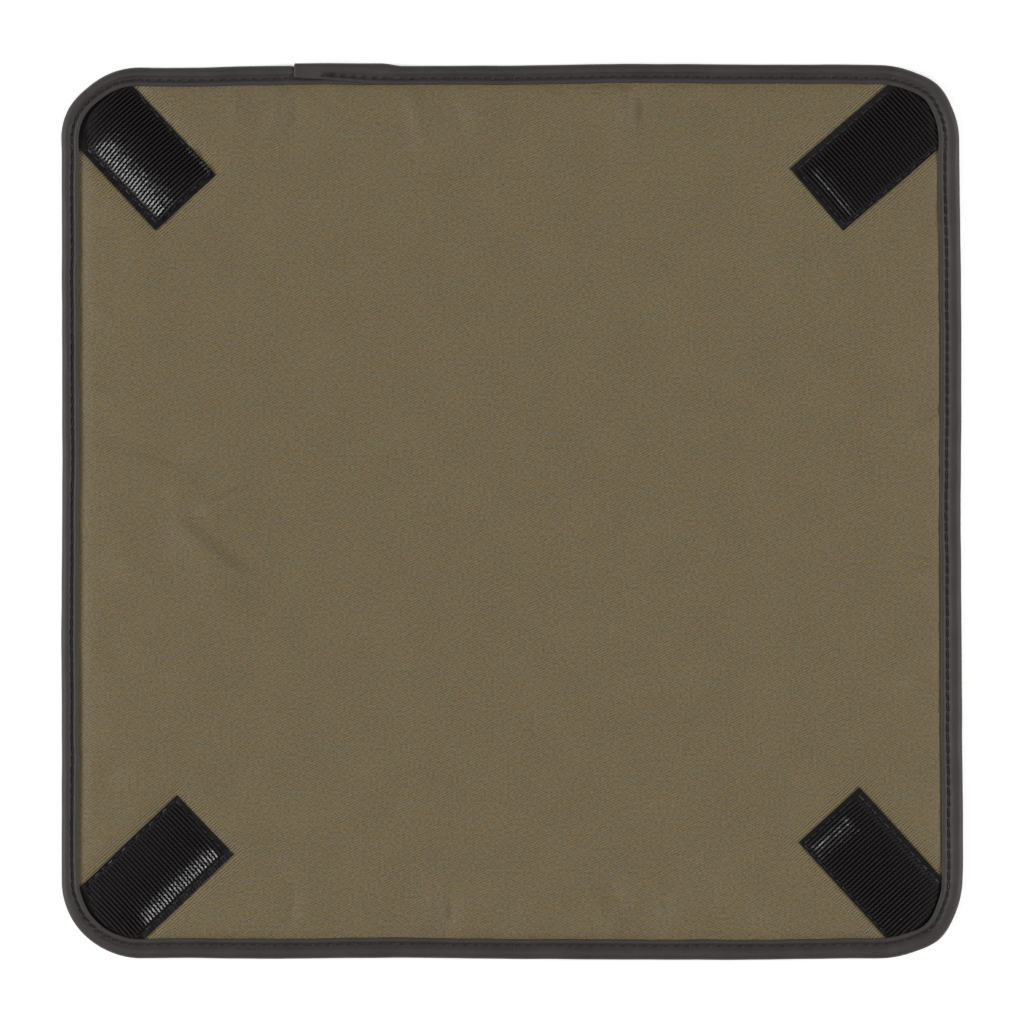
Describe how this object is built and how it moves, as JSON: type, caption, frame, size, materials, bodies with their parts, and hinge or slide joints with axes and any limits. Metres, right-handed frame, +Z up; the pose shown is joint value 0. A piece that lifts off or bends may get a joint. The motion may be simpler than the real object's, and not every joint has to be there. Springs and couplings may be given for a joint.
{
  "type": "padded lens wrap",
  "caption": "Square padded cloth wrap with bound edges and a tab of hook tape at each corner; its corners fold inward over a lens and fasten.",
  "frame": {"origin": "under the middle of the open wrap, on the surface that it lies on", "axes": "+Z up, out of the inner face; +Y towards the rear edge, where the edge tape laps; +X towards the right edge"},
  "size_m": [0.2794, 0.2794, 0.0069],
  "materials": {
    "lining_twill": "olive nylon twill",
    "foam_sheet": "soft closed foam sheet",
    "brushed_cloth": "olive brushed loop knit",
    "edge_tape": "charcoal woven binding tape",
    "hook_tape": "black nylon hook tape"
  },
  "bodies": {
    "centre": {"lining_centre": "lining_twill", "foam_centre": "foam_sheet", "outer_cloth_centre": "brushed_cloth", "binding_front": "edge_tape", "binding_right": "edge_tape", "binding_rear": "edge_tape", "binding_left": "edge_tape"},
    "corner_rear_left": {"lining_rear_left": "lining_twill", "foam_rear_left": "foam_sheet", "outer_cloth_rear_left": "brushed_cloth", "binding_rear_left": "edge_tape", "binding_lap": "edge_tape", "hook_tab_rear_left": "hook_tape"},
    "corner_rear_right": {"lining_rear_right": "lining_twill", "foam_rear_right": "foam_sheet", "outer_cloth_rear_right": "brushed_cloth", "binding_rear_right": "edge_tape", "hook_tab_rear_right": "hook_tape"},
    "corner_front_left": {"lining_front_left": "lining_twill", "foam_front_left": "foam_sheet", "outer_cloth_front_left": "brushed_cloth", "binding_front_left": "edge_tape", "hook_tab_front_left": "hook_tape"},
    "corner_front_right": {"lining_front_right": "lining_twill", "foam_front_right": "foam_sheet", "outer_cloth_front_right": "brushed_cloth", "binding_front_right": "edge_tape", "hook_tab_front_right": "hook_tape"}
  },
  "joints": [
    {"name": "fold_rear_left", "type": "hinge", "parent": "centre", "child": "corner_rear_left", "pos_m": [-0.07285, 0.07285, 0.006], "axis": [0.7071, 0.7071, 0], "range_deg": [0, 180]},
    {"name": "fold_rear_right", "type": "hinge", "parent": "centre", "child": "corner_rear_right", "pos_m": [0.07285, 0.07285, 0.006], "axis": [0.7071, -0.7071, 0], "range_deg": [0, 180]},
    {"name": "fold_front_left", "type": "hinge", "parent": "centre", "child": "corner_front_left", "pos_m": [-0.07285, -0.07285, 0.006], "axis": [-0.7071, 0.7071, 0], "range_deg": [0, 180]},
    {"name": "fold_front_right", "type": "hinge", "parent": "centre", "child": "corner_front_right", "pos_m": [0.07285, -0.07285, 0.006], "axis": [-0.7071, -0.7071, 0], "range_deg": [0, 180]}
  ]
}
